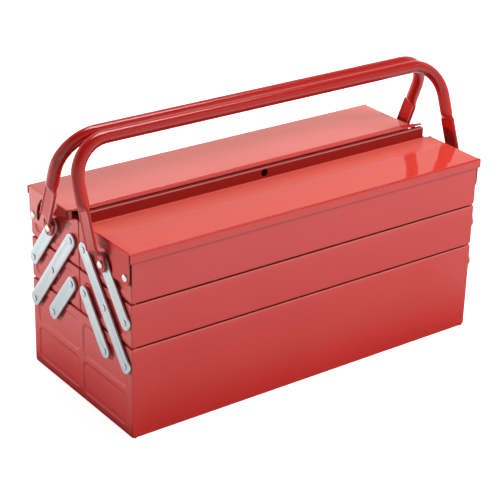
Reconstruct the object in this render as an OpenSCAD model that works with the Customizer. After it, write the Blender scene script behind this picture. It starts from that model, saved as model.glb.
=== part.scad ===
// Cantilever tool box of folded sheet steel: a fixed base, two middle trays and two lidded top trays
// that part to the front and to the rear on flat links when their tube handles are pulled open.
// The origin is under the middle of the closed box, X runs along it and the front faces -Y.

/* [Box] */
// Length of the box over its end panels
box_l = 460; // [320:5:600]
// Width of the closed box, front to rear
box_w = 200; // [180:2:260]
// Height of the fixed base tray
base_h = 103.5; // [85:0.5:160]
// Height from one tray's rim to the next one's
tray_pitch = 49.5; // [44:0.5:70]
// Clear height under each moving tray
tray_gap = 1.2; // [0.8:0.1:2]
// Clear gap between the front and the rear trays
centre_gap = 1.2; // [0.8:0.1:4]

/* [Sheet metal] */
// Thickness of the sheet
sheet_t = 1; // [0.8:0.1:1.4]
// Outer radius of the folded bottom edges
fold_r = 2; // [1.6:0.2:4]
// Height of the rim hem, where the wall is folded back on itself
hem_h = 6; // [4:0.5:10]
// Depth of the flange by which an end panel is welded inside its tray
weld_flange = 10; // [6:1:20]
// Depth of the level flange along an end panel's top edge
rim_flange = 6; // [3:0.5:10]

/* [End panels] */
// Depth to which the panes are pressed in
pane_depth = 1.2; // [0.6:0.1:2]
// Border round the base's panes
base_border = 10.5; // [8:0.5:14]
// Width of the raised rib that stands between the base's panes
rib_upright_w = 8; // [5:0.5:14]
// Width of the raised rib that lies between the base's panes
rib_level_w = 7; // [5:0.5:14]
// Border round a moving tray's pane
tray_border = 9; // [7:0.5:12]
// Corner radius of the panes
pane_r = 7; // [3:0.5:10]
// Radius of the flat seat left round each pivot
seat_r = 7.5; // [7:0.1:9]

/* [Linkage] */
// Distance of the outermost pivots from the tray's outer face
pivot_edge = 8.7; // [8.5:0.1:12]
// Distance of the innermost pivots from the tray's inner face
pivot_inner = 12.3; // [10:0.1:20]
// Depth of the pivots below the rim
pivot_drop = 21; // [18:0.5:26]
// Width of the link bars
link_w = 16; // [12:0.5:18]
// Thickness of the link bars
link_t = 2; // [1.5:0.1:3]
// Length by which an upper link's end passes its handle rivet
link_over = 5; // [0:0.5:6]

/* [Rivets] */
// Diameter of the rivet shanks
shank_d = 5; // [4:0.1:6]
// Diameter of the rivet heads
head_d = 8.6; // [8:0.1:11]
// Height of the rivet heads
head_h = 1.6; // [1:0.1:2.5]
// Diameter of the clenched tails
tail_d = 8; // [7.5:0.1:10]
// Height of the clenched tails
tail_h = 1.4; // [0.8:0.1:2]
// Outer diameter of the spacing washers
washer_d = 12; // [10:0.5:14]
// Thickness of the spacing washers
washer_t = 1; // [0.6:0.1:2]
// Radial clearance of a shank in its hinge hole
hinge_play = 0.1; // [0.02:0.01:0.1]
// Radial clearance at the pivots that only guide
guide_play = 0.3; // [0.2:0.05:0.5]
// Clearance between stacked faces that slide on each other
side_play = 0.2; // [0.1:0.05:0.4]

/* [Lids] */
// Height of the front lid above the rims that the pitch gives the top trays
lid_sit = 7.9; // [6:0.1:12]
// Distance by which a lid's front edge stands out from its tray
lid_over = 2.4; // [2:0.1:6]
// Depth of a lid's front flange
lid_flange = 10.2; // [6:0.2:14]
// Height of the rear lid above the front lid
lid_rise = 2.4; // [0:0.2:6]
// Clearance of a tray's rim under the front lid as the lid turns
lid_gap = 0.3; // [0.3:0.1:1.5]
// Outer radius of the lids' folds
lid_fold_r = 2.4; // [1.6:0.2:3]
// Height of the end flap's lower edge above the lid pivot
flap_lift = 15.5; // [10:0.5:20]
// Width of the lobe by which the end flap reaches its pivot
lobe_w = 32; // [24:1:36]
// Distance of the end flap's outer edge from the tray's outer face
flap_inset = 1; // [0.5:0.1:2]
// Length over which an end flap narrows to its inner end
flap_taper = 30; // [20:1:32]
// Radius of the end flap's rounded inner corner
flap_end_r = 4.5; // [2:0.5:6]
// Radius by which the end flap clears the handle rivet
flap_clear_r = 16.5; // [15:0.5:18]
// Radius of the rear lid's curved slots about the handle rivets
slot_r = 28.5; // [26:0.5:29]
// Width of the curved slots
slot_w = 7; // [5:0.5:8]
// Angle from upright at which a curved slot ends near the lid pivot
slot_low = 88; // [70:1:88]
// Angle from upright at which a curved slot ends under the lid
slot_high = 38; // [30:1:50]

/* [Closing ridge] */
// Distance of the front lid's upright from the box's centre
ridge_back = 17.5; // [14:0.5:24]
// Height of the upright over its crease
ridge_h = 13; // [11:0.2:20]
// Outer radius of the upright's folds
ridge_fold_r = 1.2; // [1.1:0.1:2]
// Distance by which the upright stops short of the lid's left end
ridge_inset_left = 1; // [1:0.2:20]
// Distance by which the upright stops short of the lid's right end
ridge_inset_right = 12.4; // [1:0.2:20]
// Diameter of the padlock hole
padlock_d = 8.6; // [5:0.2:8.6]
// Distance of the hole's middle below the upright's top
padlock_drop = 5.6; // [5.6:0.1:7]
// Distance of the hole's middle from the middle of the lid, negative to the left
padlock_x = -8; // [-20:1:20]
// Distance of the rear lid's crease from the box's centre
lip_back = 20; // [9:0.5:24]
// Distance by which the rear lid's lip reaches over the centre
lip_reach = 11.7; // [8:0.1:13]
// Overlap of the lip and the return at the upright's top
lip_overlap = 0.2; // [0.1:0.1:0.5]
// Clear height between the return and the lip above it
lip_gap = 1; // [0.8:0.1:3]
// Length of the cut that tapers each end of the lip
lip_taper_l = 10; // [4:1:20]
// Depth of that cut from the lip's edge
lip_taper_w = 16; // [6:1:24]
// Width of the small tab at each end of the lip
lip_tab_w = 10; // [7:0.5:14]
// Length of that tab below the lid's crease
lip_tab_h = 8; // [5:0.5:12]
// Radius of the tab's round end
lip_tab_r = 2.8; // [1.5:0.1:3.4]

/* [Handles] */
// Diameter of the handle tube
tube_d = 14; // [12:0.5:16]
// Clear gap between the two handles' grips
grip_gap = 4; // [2:0.5:10]
// Height of the grips' centre line above the ground
grip_z = 297; // [270:1:340]
// Radius of the tube's bends, to its centre line
tube_bend_r = 41; // [28:1:55]
// Distance of the legs' centre line outside the end panels
leg_out = 12.5; // [12:0.1:18]
// Thickness of the crushed tube ends
crush_t = 3.4; // [2.4:0.1:4]
// Width of the crushed tube legs
crush_w = 21; // [18:0.5:24]
// Width of the round-ended tab at the rivet
tab_w = 17; // [14:0.5:18]
// Distance from the rivet to the top of the crushed length
crush_l = 56; // [40:1:60]
// Length over which the tube is crushed from round to flat
crush_run = 9; // [6:1:14]

/* [Hidden] */
$fn = 48;
sides = ["front", "rear"];
ends = ["left", "right"];

// Gap inside a folded hem, and how far the end panels' flanges stop below the hems
hem_gap = 0.2;
hem_clear = 1;
// Relief cut on either side of a lid's crease
crease_relief = 1;

tray_w = (box_w - centre_gap) / 2;
tray_h = tray_pitch - tray_gap;
hem_t = 2 * sheet_t + hem_gap;
rim_z = [for (level = [0:2]) base_h + level * tray_pitch];
stage_in = (tray_w - pivot_edge - pivot_inner) / 2;

// Stacking distances outwards from the face of an end panel
link_out = washer_t + side_play;
link_head_out = link_out + link_t + side_play;
tab_out = link_out + link_t;
tab_head_out = tab_out + crush_t + side_play;
lid_out = link_out + sheet_t;
lid_head_out = lid_out + side_play;

// The rim of a top tray stays inside the circle that its lid's underside clears about the lid pivot
lid_edge_z = rim_z[2] + lid_sit;
lid_clear_r = lid_edge_z - sheet_t - lid_gap - pivot(0, 2).y;
top_tray_h = pivot(0, 2).y + sqrt(lid_clear_r ^ 2 - pivot_edge ^ 2) - rim_z[1] - tray_gap;
lid_l = box_l + 2 * lid_out;

// Creases and edges that meet at the centre, as [distance from the lid's outer face, height]
ridge_foot = [box_w / 2 - ridge_back, lid_edge_z];
ridge_top = ridge_foot + [0, ridge_h];
ridge_return = ridge_back - lip_reach + lip_overlap;
lip_foot = [box_w / 2 - lip_back, lid_edge_z + lid_rise];
lip_edge = [box_w / 2 + lip_reach, ridge_top.y + lip_gap + sheet_t];

grip_y = box_w / 2 - (tube_d + grip_gap) / 2;
handle_rise = grip_z - pivot(1, 2).y;
handle_tilt = atan2(grip_y - pivot(1, 2).x, handle_rise);
handle_l = norm([grip_y - pivot(1, 2).x, handle_rise]);
joggle_from = tab_w / 2;
joggle_to = joggle_from + leg_out - crush_t / 2 - tab_out;

eps = 0.01;

NODES = [
    "base_shell",
    for (e = ends) str("base_end_", e),
    "base_rivets",
    "base_washers",
    for (s = sides) each [
        str("mid_tray_", s, "_shell"),
        for (e = ends) str("mid_tray_", s, "_end_", e),
        str("mid_tray_", s, "_rivets"),
        str("mid_tray_", s, "_washers"),
        str("top_tray_", s, "_shell"),
        for (e = ends) str("top_tray_", s, "_end_", e),
        str("top_tray_", s, "_rivets"),
        str("top_tray_", s, "_washers"),
        for (e = ends) each [
            str("long_link_", s, "_", e),
            str("lower_link_", s, "_", e),
            str("upper_link_", s, "_", e)
        ],
        str("lid_", s),
        str("lid_rivets_", s),
        str("handle_", s),
        str("handle_rivets_", s)
    ]
];
node = "all";

// Each pivot, as [distance from the outer face, height]

function pivot(place, level) = [pivot_edge + place * stage_in, rim_z[level] - pivot_drop];

// Bent sheet: a line of points, its corners rounded, given the sheet's thickness on its right

function unit(v) = v / norm(v);
function right_of(v) = [v.y, -v.x];
function turn(a) = a > 180 ? a - 360 : a < -180 ? a + 360 : a;

function rounded_corner(a, b, c, r, steps = 5) =
    let (
        u = unit(a - b),
        v = unit(c - b),
        half = acos(u * v) / 2,
        centre = b + unit(u + v) * r / sin(half),
        from = b + u * r / tan(half) - centre,
        to = b + v * r / tan(half) - centre,
        start = atan2(from.y, from.x),
        sweep = turn(atan2(to.y, to.x) - start)
    )
    [for (i = [0:steps]) centre + r * [cos(start + sweep * i / steps), sin(start + sweep * i / steps)]];

function bent_line(points, r) = [
    points[0],
    for (i = [1:len(points) - 2]) each rounded_corner(points[i - 1], points[i], points[i + 1], r),
    points[len(points) - 1]
];

function corner_shift(a, b, c, t) =
    let (n = unit(right_of(unit(b - a)) + right_of(unit(c - b))))
    n * t / (n * right_of(unit(c - b)));

function right_side(line, t) =
    let (last = len(line) - 1)
    [
        line[0] + t * right_of(unit(line[1] - line[0])),
        for (i = [1:last - 1]) line[i] + corner_shift(line[i - 1], line[i], line[i + 1], t),
        line[last] + t * right_of(unit(line[last] - line[last - 1]))
    ];

function reversed(list) = [for (i = [len(list) - 1:-1:0]) list[i]];

module bent_sheet(points, r) {
    line = bent_line(points, r);
    polygon(concat(line, reversed(right_side(line, sheet_t))));
}

// Places: every piece is drawn for the front side and the left end, in [distance from the outer
// face, height], and mirrored to its own

module at_side(side) mirror([0, side == "rear" ? 1 : 0, 0]) children();

module at_end(end) mirror([end == "right" ? 1 : 0, 0, 0]) children();

module along_box(from, to) {
    translate([from, -box_w / 2, 0]) rotate([90, 0, 90]) linear_extrude(to - from) children();
}

module end_plate(inner, outer) along_box(-box_l / 2 - outer, -box_l / 2 - inner) children();

module at_pivot(p) {
    translate([-box_l / 2, p.x - box_w / 2, p.y]) rotate([0, -90, 0]) children();
}

module round_rect(from, size, r) {
    translate(from) {
        translate([r, 0]) square([size.x - 2 * r, size.y]);
        translate([0, r]) square([size.x, size.y - 2 * r]);
        for (x = [r, size.x - r], y = [r, size.y - r]) translate([x, y]) circle(r);
    }
}

// Trays: a sheet folded into a channel, hemmed along both rims, with a pressed panel at each end

module channel_outline(from, size, r) {
    translate(from) {
        translate([0, r]) square([size.x, size.y - r]);
        translate([r, 0]) square([size.x - 2 * r, size.y]);
        for (x = [r, size.x - r]) translate([x, r]) circle(r);
    }
}

module rim_hem(height) {
    translate([0, height - hem_h]) square([hem_t, hem_h - hem_t / 2]);
    translate([hem_t / 2, height - hem_t / 2]) circle(d = hem_t);
}

module tray_shell(width, bottom, height) {
    along_box(-box_l / 2 + sheet_t, box_l / 2 - sheet_t) translate([0, bottom]) {
        difference() {
            channel_outline([0, 0], [width, height - hem_t / 2], fold_r);
            channel_outline([sheet_t, sheet_t], [width - 2 * sheet_t, height], fold_r - sheet_t);
        }
        rim_hem(height);
        translate([width, 0]) mirror([1, 0]) rim_hem(height);
    }
}

module weld_flange_outline(width, height) {
    depth = height - sheet_t - hem_h - hem_clear;
    difference() {
        channel_outline([sheet_t, sheet_t], [width - 2 * sheet_t, depth], fold_r - sheet_t);
        channel_outline([2 * sheet_t, 2 * sheet_t], [width - 4 * sheet_t, height], fold_r - sheet_t);
    }
}

module panes(places, grow) {
    for (p = places) round_rect(p[0] - [grow, grow], p[1] + 2 * [grow, grow], pane_r + grow);
}

module pivot_discs(pivots, r) {
    for (p = pivots) translate(p) circle(r);
}

module end_panel(width, bottom, height, places, pivots) {
    difference() {
        union() {
            end_plate(-sheet_t, 0) channel_outline([0, bottom], [width, height], fold_r);
            end_plate(-pane_depth - sheet_t, -sheet_t) panes(places, sheet_t);
            end_plate(-sheet_t - weld_flange, -sheet_t)
                translate([0, bottom]) weld_flange_outline(width, height);
            end_plate(-sheet_t - rim_flange, -sheet_t)
                translate([hem_t + side_play, bottom + height - sheet_t])
                    square([width - 2 * (hem_t + side_play), sheet_t]);
        }
        end_plate(-pane_depth, eps) difference() {
            panes(places, 0);
            pivot_discs(pivots, seat_r);
        }
        end_plate(-pane_depth - sheet_t - eps, -sheet_t) pivot_discs(pivots, seat_r - sheet_t);
        for (p = pivots) at_pivot(p) cylinder(d = shank_d + 2 * hinge_play, h = 4 * sheet_t, center = true);
    }
}

module base_shell() color("firebrick") tray_shell(box_w, 0, base_h);

module base_end(end) {
    pane_size = [
        (box_w - 2 * base_border - rib_upright_w) / 2,
        (base_h - 2 * base_border - rib_level_w) / 2
    ];
    step = pane_size + [rib_upright_w, rib_level_w];
    places = [
        for (column = [0, 1], row = [0, 1])
            [[base_border + column * step.x, base_border + row * step.y], pane_size]
    ];
    near = [pivot(0, 0), pivot(1, 0)];
    far = [for (p = near) [box_w - p.x, p.y]];
    color("firebrick") at_end(end) end_panel(box_w, 0, base_h, places, concat(near, far));
}

module moving_tray_end(side, end, level, height, pivots) {
    bottom = rim_z[level - 1] + tray_gap;
    place = [
        [tray_border, bottom + tray_border],
        [tray_w - 2 * tray_border, height - 2 * tray_border]
    ];
    color("firebrick") at_side(side) at_end(end) end_panel(tray_w, bottom, height, [place], pivots);
}

module mid_tray_shell(side) {
    color("firebrick") at_side(side) tray_shell(tray_w, rim_z[0] + tray_gap, tray_h);
}

module mid_tray_end(side, end) {
    moving_tray_end(side, end, 1, tray_h, [for (place = [0:2]) pivot(place, 1)]);
}

module top_tray_shell(side) {
    color("firebrick") at_side(side) tray_shell(tray_w, rim_z[1] + tray_gap, top_tray_h);
}

module top_tray_end(side, end) {
    moving_tray_end(side, end, 2, top_tray_h, [for (place = [0:2]) pivot(place, 2)]);
}

// Rivets and washers: each row of a pivot is fixed in one tray and turns in the link outside it

module dome(d, h, steps = 5) {
    rim = h / 5;
    cap = h - rim;
    radius = (d * d / 4 + cap * cap) / (2 * cap);
    widest = asin(d / 2 / radius);
    rotate_extrude() polygon([
        [0, 0],
        [d / 2, 0],
        for (i = [steps:-1:0])
            [radius * sin(widest * i / steps), h - radius + radius * cos(widest * i / steps)]
    ]);
}

module rivet(head_out) {
    translate([0, 0, -sheet_t - tail_h]) cylinder(d = tail_d, h = tail_h);
    translate([0, 0, -sheet_t - tail_h]) cylinder(d = shank_d, h = sheet_t + tail_h + head_out);
    translate([0, 0, head_out]) dome(head_d, head_h);
}

module washer() {
    difference() {
        cylinder(d = washer_d, h = washer_t);
        cylinder(d = shank_d + 2 * hinge_play, h = 4 * washer_t, center = true);
    }
}

module at_both_ends() {
    for (e = ends) at_end(e) children();
}

module rivets(side, pivots, head_out) {
    color("gainsboro") at_side(side) at_both_ends() for (p = pivots) at_pivot(p) rivet(head_out);
}

module washers(side, pivots) {
    color("silver") at_side(side) at_both_ends() for (p = pivots) at_pivot(p) washer();
}

module base_rivets() for (s = sides) rivets(s, [pivot(0, 0), pivot(1, 0)], link_head_out);

module base_washers() for (s = sides) washers(s, [pivot(0, 0), pivot(1, 0)]);

module mid_tray_rivets(side) rivets(side, [for (place = [0:2]) pivot(place, 1)], link_head_out);

module mid_tray_washers(side) washers(side, [for (place = [0:2]) pivot(place, 1)]);

module top_tray_rivets(side) rivets(side, [pivot(2, 2)], link_head_out);

module top_tray_washers(side) washers(side, [for (place = [0:2]) pivot(place, 2)]);

module handle_rivets(side) rivets(side, [pivot(1, 2)], tab_head_out);

module lid_rivets(side) rivets(side, [pivot(0, 2)], lid_head_out);

// Links: flat bars with round ends, drilled at their pivots

module link_bar(from, to, over) {
    along = to - from;
    translate(from) rotate(atan2(along.y, along.x)) {
        translate([0, -link_w / 2]) square([norm(along) + over, link_w]);
        circle(link_w / 2);
        translate([norm(along) + over, 0]) circle(link_w / 2);
    }
}

module link(side, end, pivots, plays, over = 0) {
    color("lightsteelblue") at_side(side) at_end(end) difference() {
        end_plate(link_out, link_out + link_t) link_bar(pivots[0], pivots[len(pivots) - 1], over);
        for (i = [0:len(pivots) - 1]) at_pivot(pivots[i])
            cylinder(d = shank_d + 2 * plays[i], h = 2 * tab_out);
    }
}

// The left long links carry the trays, and every other upper hole only guides

module long_link(side, end) {
    carry = end == "left" ? hinge_play : guide_play;
    link(side, end, [for (i = [0:2]) pivot(i, i)], [hinge_play, carry, carry]);
}

module lower_link(side, end) link(side, end, [pivot(1, 0), pivot(2, 1)], [hinge_play, guide_play]);

module upper_link(side, end) {
    link(side, end, [pivot(0, 1), pivot(1, 2)], [guide_play, hinge_play], link_over);
}

// Lids: one sheet each, with a front flange, two end flaps and a closing edge at the centre

module curved_slot(centre) {
    toward = function(a, distance) centre + distance * [-sin(a), cos(a)];
    intersection() {
        difference() {
            translate(centre) circle(slot_r + slot_w / 2);
            translate(centre) circle(slot_r - slot_w / 2);
        }
        polygon([centre, for (a = [slot_low, (slot_low + slot_high) / 2, slot_high]) toward(a, 2 * slot_r)]);
    }
    for (a = [slot_low, slot_high]) translate(toward(a, slot_r)) circle(slot_w / 2);
}

module end_flap(foot) {
    top = foot.y - eps;
    band_z = pivot(0, 2).y + flap_lift;
    end = [foot.x - crease_relief, top] - [flap_end_r, flap_end_r];
    lobe_r = pivot_edge - flap_inset;
    difference() {
        union() {
            polygon([
                [flap_inset, band_z],
                [flap_inset, top],
                [foot.x - crease_relief, top],
                end + [flap_end_r, 0],
                end - [0, flap_end_r],
                [foot.x - flap_taper, band_z]
            ]);
            translate(end) circle(flap_end_r);
            round_rect(
                [flap_inset, pivot(0, 2).y - lobe_r],
                [lobe_w, flap_lift + 2 * lobe_r],
                lobe_r
            );
        }
        translate(pivot(1, 2)) circle(flap_clear_r);
        translate(pivot(0, 2)) circle(shank_d / 2 + hinge_play);
    }
}

module at_lid_ends() {
    at_both_ends() end_plate(link_out, lid_out) children();
}

// The outer part of both lids, from the lower edge of the front flange to a point on the top

function lid_front_edge(last) = [
    [-lid_over, last.y - lid_flange],
    [-lid_over, last.y],
    last
];

module lid_front() {
    notch = ridge_foot - [3 * ridge_fold_r, 0];
    from = -lid_l / 2 + ridge_inset_left;
    to = lid_l / 2 - ridge_inset_right;
    color("indianred") {
        along_box(-lid_l / 2, lid_l / 2) bent_sheet(lid_front_edge(notch), lid_fold_r);
        for (strip = [[-lid_l / 2, from], [to, lid_l / 2]]) along_box(strip[0], strip[1])
            translate(notch - [0, sheet_t]) square([ridge_foot.x - notch.x, sheet_t]);
        difference() {
            along_box(from, to)
                bent_sheet([notch, ridge_foot, ridge_top, ridge_top + [ridge_return, 0]], ridge_fold_r);
            translate([padlock_x, ridge_foot.x - box_w / 2, ridge_top.y - padlock_drop])
                rotate([90, 0, 0]) cylinder(d = padlock_d, h = 6 * sheet_t, center = true);
        }
        at_lid_ends() end_flap(ridge_foot);
    }
}

// A point just under the lip's surface, on the line from one point of its section to the next

function on_line(from, to, y) = [y, from.y + (to.y - from.y) * (y - from.x) / (to.x - from.x) - eps];

module lip_tab() {
    from = on_line(lip_foot, lip_edge, lip_foot.x + crease_relief);
    to = on_line(lip_foot, lip_edge, from.x + lip_tab_w);
    bottom = [to.x - lip_tab_r, lip_foot.y - lip_tab_h + lip_tab_r];
    polygon([from, to, bottom + [lip_tab_r, 0], bottom - [lip_tab_r, 0]]);
    translate(bottom) circle(lip_tab_r);
}

module lip_taper() {
    end = -lid_l / 2;
    edge = lip_reach;
    along_z = [lip_foot.y - lip_tab_h, lip_edge.y + sheet_t];
    translate([0, 0, along_z[0]]) linear_extrude(along_z[1] - along_z[0]) polygon([
        [end - sheet_t, edge - lip_taper_w],
        [end, edge - lip_taper_w],
        [end + lip_taper_l, edge],
        [end + lip_taper_l, edge + sheet_t],
        [end - sheet_t, edge + sheet_t]
    ]);
}

module lid_rear() {
    color("indianred") at_side("rear") {
        difference() {
            along_box(-lid_l / 2, lid_l / 2)
                bent_sheet(concat(lid_front_edge(lip_foot), [lip_edge]), lid_fold_r);
            at_both_ends() lip_taper();
        }
        at_lid_ends() {
            difference() {
                end_flap(lip_foot);
                curved_slot(pivot(1, 2));
            }
            lip_tab();
        }
    }
}

// Handles: a bent tube whose legs are crushed flat and joggled in to a round-ended tab

module handle_frame() {
    translate([0, pivot(1, 2).x - box_w / 2, pivot(1, 2).y]) rotate([-handle_tilt, 0, 0]) children();
}

module leg_taper() {
    rotate([90, 0, 90]) linear_extrude(2 * leg_out, center = true) polygon([
        [-tab_w / 2, joggle_from],
        [-crush_w / 2, joggle_to],
        [crush_w / 2, joggle_to],
        [tab_w / 2, joggle_from]
    ]);
}

module leg_joggle() {
    inner = leg_out - crush_t / 2;
    rotate([90, 0, 0]) linear_extrude(crush_w, center = true) polygon([
        [-tab_out, joggle_from],
        [-inner, joggle_to],
        [-inner - crush_t, joggle_to],
        [-tab_out - crush_t, joggle_from]
    ]);
}

module leg_end() {
    difference() {
        translate([-tab_out - crush_t, 0, 0]) {
            rotate([0, 90, 0]) cylinder(d = tab_w, h = crush_t);
            translate([0, -tab_w / 2, 0]) cube([crush_t, tab_w, joggle_from]);
        }
        rotate([0, 90, 0]) cylinder(d = shank_d + 2 * hinge_play, h = 4 * leg_out, center = true);
    }
    intersection() {
        leg_joggle();
        leg_taper();
    }
}

// Each station along the tube is [x, distance above the rivet, angle round the bends, roundness],
// where a roundness of 0 is the crushed leg and 1 is the full tube

function leg_stations(steps = 6) = [
    [joggle_to, 0],
    for (i = [0:steps]) [crush_l + crush_run * i / steps, (1 - cos(180 * i / steps)) / 2]
];

function tube_stations() =
    let (half = box_l / 2 + leg_out, straight_to = handle_l - tube_bend_r, steps = 12)
    [
        for (p = leg_stations()) [-half, p[0], 0, p[1]],
        for (hand = [-1, 1], i = [0:steps])
            let (a = 45 * (hand + 1) + 90 * i / steps)
            [
                hand * (half - tube_bend_r) - tube_bend_r * cos(a),
                straight_to + tube_bend_r * sin(a),
                a,
                1
            ],
        for (p = reversed(leg_stations())) [half, p[0], 180, p[1]]
    ];

function tube_ring(station, facets) =
    let (
        thick = crush_t + (tube_d - crush_t) * station[3],
        wide = crush_w + (tube_d - crush_w) * station[3]
    )
    [
        for (k = [0:facets - 1])
            let (
                a = 360 * (k + 0.5) / facets,
                out = thick / 2 * cos(a),
                across = (wide - thick) / 2 * sign(sin(a)) + thick / 2 * sin(a)
            )
            [station.x - out * cos(station.z), across, station.y + out * sin(station.z)]
    ];

module bent_tube(facets = 28) {
    stations = tube_stations();
    last = len(stations) - 1;
    polyhedron(
        points = [for (station = stations) each tube_ring(station, facets)],
        faces = [
            [for (k = [facets - 1:-1:0]) k],
            [for (k = [0:facets - 1]) last * facets + k],
            for (i = [0:last - 1], k = [0:facets - 1])
                let (next = (k + 1) % facets, here = i * facets, beyond = here + facets)
                [here + k, here + next, beyond + next, beyond + k]
        ]
    );
}

module handle(side) {
    color("firebrick") at_side(side) handle_frame() {
        at_both_ends() translate([-box_l / 2, 0, 0]) leg_end();
        bent_tube();
    }
}

function chosen(name) = node == "all" || node == name;

if (chosen("base_shell")) base_shell();
for (e = ends) if (chosen(str("base_end_", e))) base_end(e);
if (chosen("base_rivets")) base_rivets();
if (chosen("base_washers")) base_washers();
for (s = sides) {
    if (chosen(str("mid_tray_", s, "_shell"))) mid_tray_shell(s);
    for (e = ends) if (chosen(str("mid_tray_", s, "_end_", e))) mid_tray_end(s, e);
    if (chosen(str("mid_tray_", s, "_rivets"))) mid_tray_rivets(s);
    if (chosen(str("mid_tray_", s, "_washers"))) mid_tray_washers(s);
    if (chosen(str("top_tray_", s, "_shell"))) top_tray_shell(s);
    for (e = ends) if (chosen(str("top_tray_", s, "_end_", e))) top_tray_end(s, e);
    if (chosen(str("top_tray_", s, "_rivets"))) top_tray_rivets(s);
    if (chosen(str("top_tray_", s, "_washers"))) top_tray_washers(s);
    for (e = ends) {
        if (chosen(str("long_link_", s, "_", e))) long_link(s, e);
        if (chosen(str("lower_link_", s, "_", e))) lower_link(s, e);
        if (chosen(str("upper_link_", s, "_", e))) upper_link(s, e);
    }
    if (chosen(str("lid_rivets_", s))) lid_rivets(s);
    if (chosen(str("handle_", s))) handle(s);
    if (chosen(str("handle_rivets_", s))) handle_rivets(s);
}
if (chosen("lid_front")) lid_front();
if (chosen("lid_rear")) lid_rear();
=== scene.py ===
import math

import bmesh
import bpy
from mathutils import Matrix, Vector
from mathutils.geometry import delaunay_2d_cdt


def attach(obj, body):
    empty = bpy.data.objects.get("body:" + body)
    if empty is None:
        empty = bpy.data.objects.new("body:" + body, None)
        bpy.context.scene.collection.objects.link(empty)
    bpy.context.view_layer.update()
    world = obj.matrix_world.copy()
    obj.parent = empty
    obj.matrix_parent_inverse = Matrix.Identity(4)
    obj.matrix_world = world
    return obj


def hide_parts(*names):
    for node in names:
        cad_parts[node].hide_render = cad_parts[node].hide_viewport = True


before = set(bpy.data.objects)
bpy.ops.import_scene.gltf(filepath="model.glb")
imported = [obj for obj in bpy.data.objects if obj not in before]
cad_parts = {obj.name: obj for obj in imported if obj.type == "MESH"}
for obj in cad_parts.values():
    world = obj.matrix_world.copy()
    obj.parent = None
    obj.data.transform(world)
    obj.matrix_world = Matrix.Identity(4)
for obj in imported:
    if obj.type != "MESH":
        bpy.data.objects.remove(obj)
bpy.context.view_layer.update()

# ---------------------------------------------------------------------------------------------
# Base tray shell
# A channel of 1 mm sheet steel, folded up at the front and the back and rolled over at both rims.
# It is dipped and stoved with glossy red enamel, as every sheet of the box is.

MM = 0.001
SHEET = 1.0
BOX_L, BOX_W, BASE_H, TRAY_PITCH, TRAY_GAP = 460.0, 200.0, 103.5, 49.5, 1.2
FOLD_R, SKIRT_R = 2.0, 4.5
HEM_H, HEM_T = 6.0, 2.2
WALL_STRIP = 12.0


def new_group(name, inputs, outputs):
    """A shader node group with named sockets, and its first and last nodes."""
    tree = bpy.data.node_groups.new(name, "ShaderNodeTree")
    for label, kind, value in inputs:
        socket = tree.interface.new_socket(name=label, in_out="INPUT", socket_type=kind)
        if value is not None:
            socket.default_value = value
    for label, kind in outputs:
        tree.interface.new_socket(name=label, in_out="OUTPUT", socket_type=kind)
    return tree, tree.nodes.new("NodeGroupInput"), tree.nodes.new("NodeGroupOutput")


def add_node(tree, kind, settings=None, **inputs):
    """A node with its settings, and its inputs linked to other sockets or set to values.

    An input goes by its label, or by i and its number where labels repeat.
    """
    node = tree.nodes.new(kind)
    for key, value in (settings or {}).items():
        setattr(node, key, value)
    for label, value in inputs.items():
        socket = node.inputs[int(label[1:]) if label[1:].isdigit() else label.replace("_", " ")]
        if isinstance(value, bpy.types.NodeSocket):
            tree.links.new(value, socket)
        else:
            socket.default_value = value
    return node


def calc(tree, operation, a, b=0.0, c=0.0):
    """One step of arithmetic on values that change over a surface."""
    return add_node(tree, "ShaderNodeMath", {"operation": operation}, i0=a, i1=b, i2=c).outputs[0]


def spread(tree, value, low, high, to_low=0.0, to_high=1.0):
    """Stretches a value from one range to another, and holds it there."""
    node = add_node(tree, "ShaderNodeMapRange", {"clamp": True}, i0=value, i1=low, i2=high)
    node.inputs[3].default_value, node.inputs[4].default_value = to_low, to_high
    return node.outputs[0]


def blend_colours(tree, factor, a, b):
    """The first colour where the factor is none, and the second where it is one."""
    node = tree.nodes.new("ShaderNodeMix")
    node.data_type = "RGBA"
    for index, value in ((0, factor), (6, a), (7, b)):
        if isinstance(value, bpy.types.NodeSocket):
            tree.links.new(value, node.inputs[index])
        else:
            node.inputs[index].default_value = value
    return node.outputs[2]


def noise(tree, vector, scale, detail=2.0, roughness=0.5):
    """Soft random patches. A larger scale makes smaller ones."""
    return add_node(
        tree, "ShaderNodeTexNoise", Vector=vector, Scale=scale, Detail=detail, Roughness=roughness
    ).outputs["Fac"]


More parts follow.
